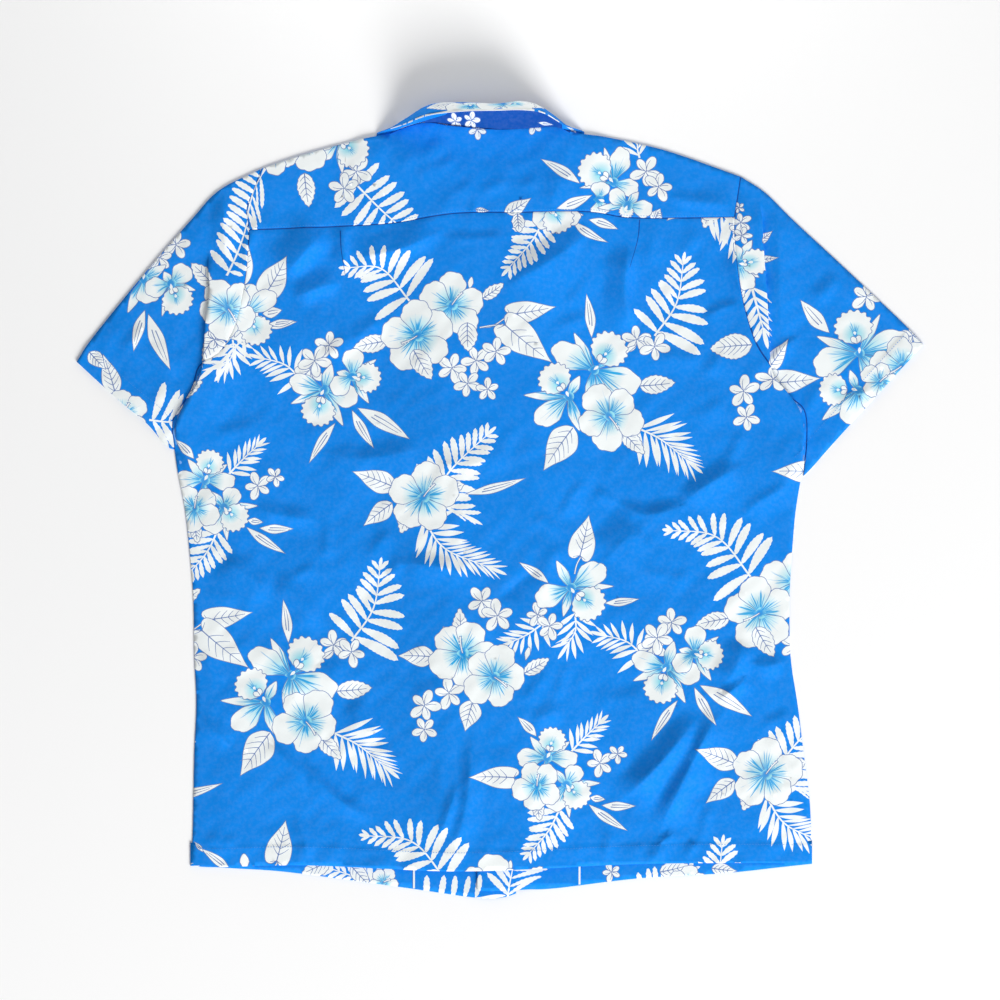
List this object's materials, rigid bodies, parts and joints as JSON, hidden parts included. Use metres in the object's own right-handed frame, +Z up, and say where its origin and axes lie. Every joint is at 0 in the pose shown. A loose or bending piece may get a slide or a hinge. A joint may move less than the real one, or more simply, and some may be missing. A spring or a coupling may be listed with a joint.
{
  "type": "hawaiian shirt",
  "caption": "Short-sleeved printed camp-collar shirt lying face down, with a pleated back, a yoke, flat sleeves and a buttoned front.",
  "frame": {"origin": "on the surface that the shirt lies on, below the middle of its bounding box", "axes": "+Z up from the surface and out of the shirt's back, +Y from hem to collar, +X along the shoulders towards the wearer's right sleeve"},
  "size_m": [0.8477, 0.7953, 0.0523],
  "materials": {
    "printed_cotton": "smooth plain-weave cotton and polyester, printed, with a slight sheen",
    "button_plastic": "polished polyester button, dyed to match"
  },
  "bodies": {
    "root": {"back_body": "printed_cotton", "back_yoke": "printed_cotton", "front_left": "printed_cotton", "front_right": "printed_cotton", "sleeve_left": "printed_cotton", "sleeve_right": "printed_cotton", "collar": "printed_cotton", "button_1": "button_plastic", "button_2": "button_plastic", "button_3": "button_plastic", "button_4": "button_plastic", "button_5": "button_plastic", "button_6": "button_plastic"}
  },
  "joints": []
}
